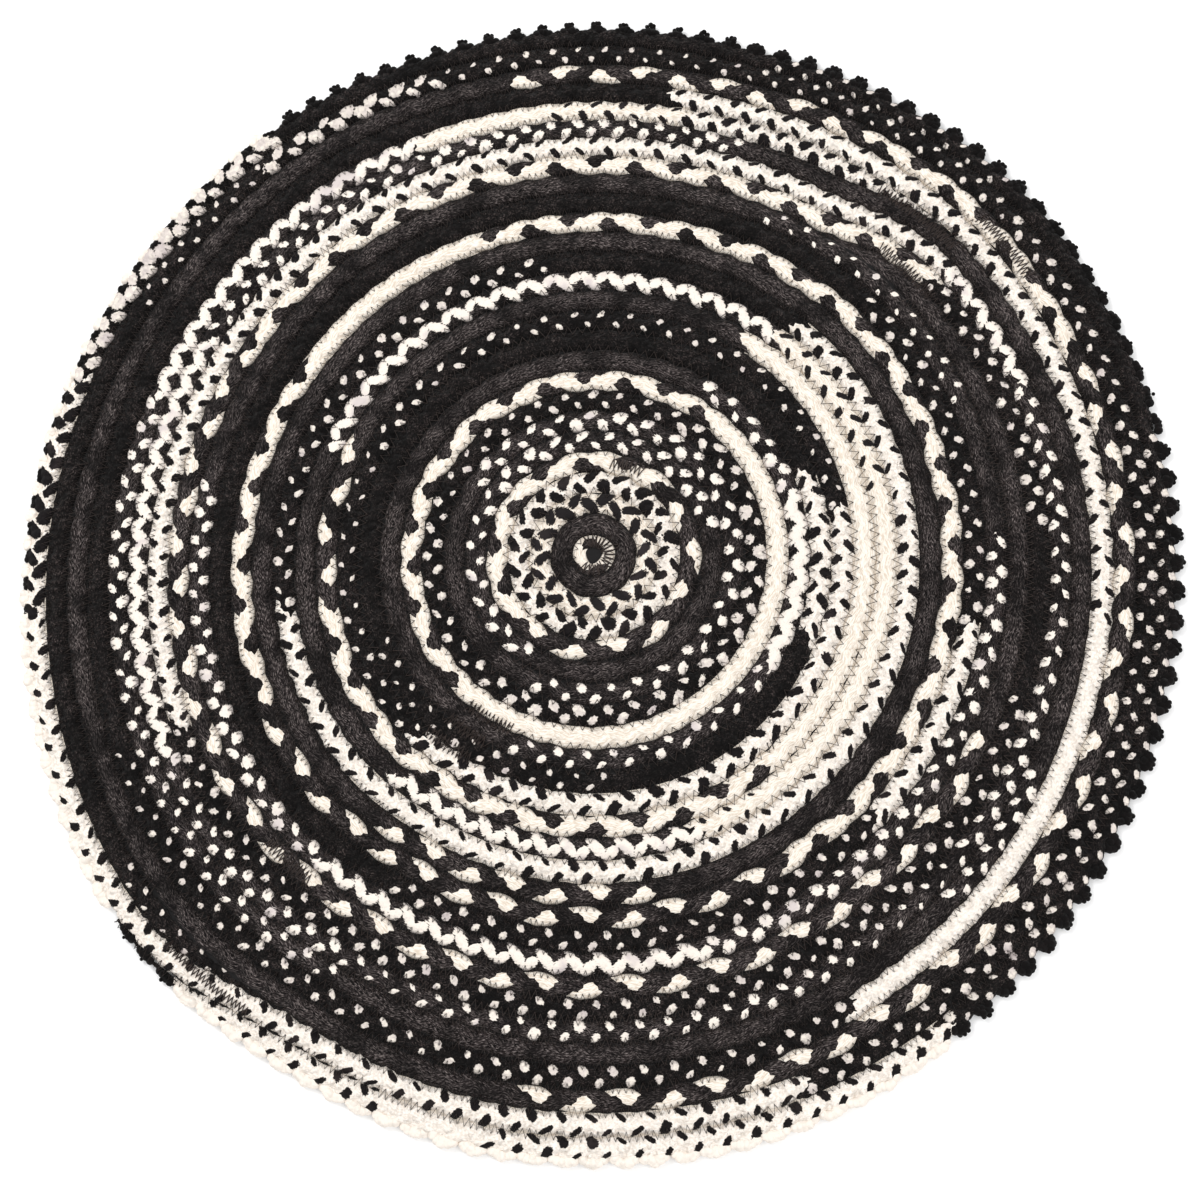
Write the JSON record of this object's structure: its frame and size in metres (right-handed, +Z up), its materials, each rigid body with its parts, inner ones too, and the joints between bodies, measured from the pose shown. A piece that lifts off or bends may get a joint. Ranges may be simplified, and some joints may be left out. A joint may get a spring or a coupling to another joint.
{
  "type": "braided rug",
  "caption": "Round flat rug of three-strand cotton braid in black and cream, coiled from the centre and sewn edge to edge with a zigzag stitch.",
  "frame": {"origin": "centre of the coil on the rug's flat underside", "axes": "+Z up out of the face of the rug; +Y towards the top of the picture and +X to its right"},
  "size_m": [1.2188, 1.2227, 0.012],
  "materials": {
    "black_cotton": "matte brushed cotton braid",
    "cream_cotton": "matte brushed cotton braid",
    "sewing_thread": "matte thread"
  },
  "bodies": {
    "root": {"braided_rug": "black_cotton"}
  },
  "joints": []
}
